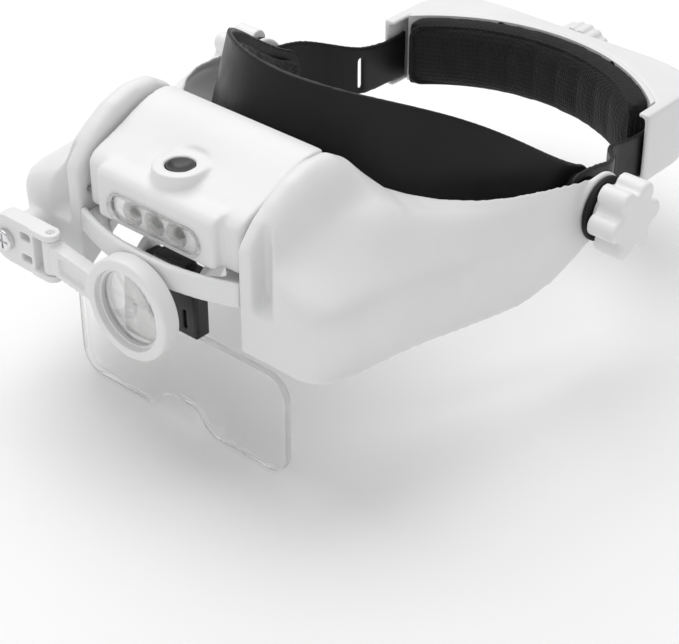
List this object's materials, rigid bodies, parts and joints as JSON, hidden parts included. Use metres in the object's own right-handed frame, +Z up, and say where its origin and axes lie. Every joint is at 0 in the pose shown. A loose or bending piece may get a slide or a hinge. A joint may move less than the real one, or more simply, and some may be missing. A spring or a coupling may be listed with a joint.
{
  "type": "head visor magnifier",
  "caption": "Headband with a tilting visor that carries a lamp, a slide-in magnifying plate and a swing-out loupe, sized by a dial at the back.",
  "frame": {"origin": "middle of the headband loop, where the wearer's head sits, 7 mm below the visor's tilt axis", "axes": "+X to the wearer's left, -Y forward, +Z up"},
  "size_m": [0.2152, 0.2859, 0.1246],
  "materials": {
    "band_black": "satin moulded",
    "pad_mesh": "air mesh over foam",
    "shell_white": "satin moulded",
    "knob_white": "satin moulded",
    "holder_black": "smooth moulded",
    "washer_rubber": "matt",
    "steel": "zinc plated",
    "chrome_screw": "bright plated",
    "brass_nut": "turned",
    "clear_lens": "polished clear acrylic",
    "reflector": "vacuum metallised",
    "led_dome": "clear epoxy dome",
    "board_green": "solder mask",
    "gear_grey": "moulded acetal",
    "cell_jacket": "printed film, plain"
  },
  "bodies": {
    "headband": {"headband_front": "band_black", "forehead_pad": "pad_mesh", "strap_left": "band_black", "strap_right": "band_black", "pivot_nut_left": "brass_nut", "pivot_nut_right": "brass_nut", "pivot_washer_left": "washer_rubber", "pivot_washer_right": "washer_rubber"},
    "visor": {"visor_shell": "shell_white", "front_bridge": "shell_white", "bridge_screws": "steel", "lamp_pins": "steel", "holder_pin": "steel", "loupe_screw": "chrome_screw"},
    "knob_left": {"knob_left": "knob_white", "knob_stud_left": "steel"},
    "knob_right": {"knob_right": "knob_white", "knob_stud_right": "steel"},
    "lamp": {"lamp_cover": "shell_white", "lamp_base": "shell_white", "lamp_screws": "steel", "lamp_window": "clear_lens", "led_reflector": "reflector", "led_board": "board_green", "leds": "led_dome", "power_switch": "holder_black", "switch_board": "board_green", "battery_front": "cell_jacket", "battery_rear": "cell_jacket", "contact_plates": "steel", "contact_springs": "steel"},
    "power_button": {"power_button": "holder_black"},
    "battery_door": {"battery_door": "shell_white"},
    "lens_holder": {"lens_holder": "holder_black"},
    "lens_plate": {"lens_plate": "clear_lens"},
    "loupe_bracket": {"loupe_bracket": "shell_white", "loupe_hinge_pin": "steel"},
    "loupe_arm": {"loupe_arm": "shell_white", "loupe_lens": "clear_lens", "loupe_retainer": "shell_white"},
    "rear_unit": {"rear_shell_outer": "shell_white", "rear_shell_inner": "shell_white", "rear_pad": "pad_mesh", "rear_screws": "steel"},
    "dial": {"size_dial": "shell_white", "dial_pinion": "gear_grey", "dial_screw": "steel"},
    "rack_left": {"rack_left": "band_black"},
    "rack_right": {"rack_right": "band_black"}
  },
  "joints": [
    {"name": "visor_tilt", "type": "hinge", "parent": "headband", "child": "visor", "pos_m": [0, -0.002, 0.007], "axis": [-1, 0, 0], "range_deg": [-8, 50]},
    {"name": "knob_left_turn", "type": "hinge", "parent": "headband", "child": "knob_left", "pos_m": [0.1, -0.002, 0.007], "axis": [1, 0, 0], "range_deg": [0, 720]},
    {"name": "knob_right_turn", "type": "hinge", "parent": "headband", "child": "knob_right", "pos_m": [-0.1, -0.002, 0.007], "axis": [-1, 0, 0], "range_deg": [0, 720]},
    {"name": "lamp_tilt", "type": "hinge", "parent": "visor", "child": "lamp", "pos_m": [0, -0.144, 0.027], "axis": [1, 0, 0], "range_deg": [0, 20]},
    {"name": "button_press", "type": "slide", "parent": "lamp", "child": "power_button", "axis": [0, 0, -1], "range_m": [0, 0.0012], "stiffness_N_per_m": 400},
    {"name": "battery_door_lift", "type": "slide", "parent": "lamp", "child": "battery_door", "axis": [0, 0, -1], "range_m": [0, 0.008]},
    {"name": "lens_tilt", "type": "hinge", "parent": "visor", "child": "lens_holder", "pos_m": [0, -0.141, 0.008], "axis": [1, 0, 0], "range_deg": [-15, 15]},
    {"name": "lens_slide", "type": "slide", "parent": "lens_holder", "child": "lens_plate", "axis": [0, 0, -1], "range_m": [0, 0.014]},
    {"name": "loupe_swing", "type": "hinge", "parent": "visor", "child": "loupe_bracket", "pos_m": [-0.064, -0.163, 0.006], "axis": [0, -1, 0], "range_deg": [-30, 105]},
    {"name": "loupe_fold", "type": "hinge", "parent": "loupe_bracket", "child": "loupe_arm", "pos_m": [-0.0425, -0.163, 0.006], "axis": [0, 0, -1], "range_deg": [0, 110]},
    {"name": "size_slide", "type": "slide", "parent": "headband", "child": "rear_unit", "axis": [0, -1, 0], "range_m": [-0.006, 0.01]},
    {"name": "dial_turn", "type": "hinge", "parent": "rear_unit", "child": "dial", "pos_m": [0, 0.11, -0.001], "axis": [0, -1, 0], "range_deg": [-60, 100]},
    {"name": "rack_left_travel", "type": "slide", "parent": "rear_unit", "child": "rack_left", "axis": [-1, 0, 0], "range_m": [-0.0065, 0.0105]},
    {"name": "rack_right_travel", "type": "slide", "parent": "rear_unit", "child": "rack_right", "axis": [1, 0, 0], "range_m": [-0.0065, 0.0105]}
  ],
  "couplings": [
    {"joint": "dial_turn", "follows": "size_slide", "rad_per_m": 156.25},
    {"joint": "rack_left_travel", "follows": "size_slide", "ratio": 1},
    {"joint": "rack_right_travel", "follows": "size_slide", "ratio": 1}
  ]
}
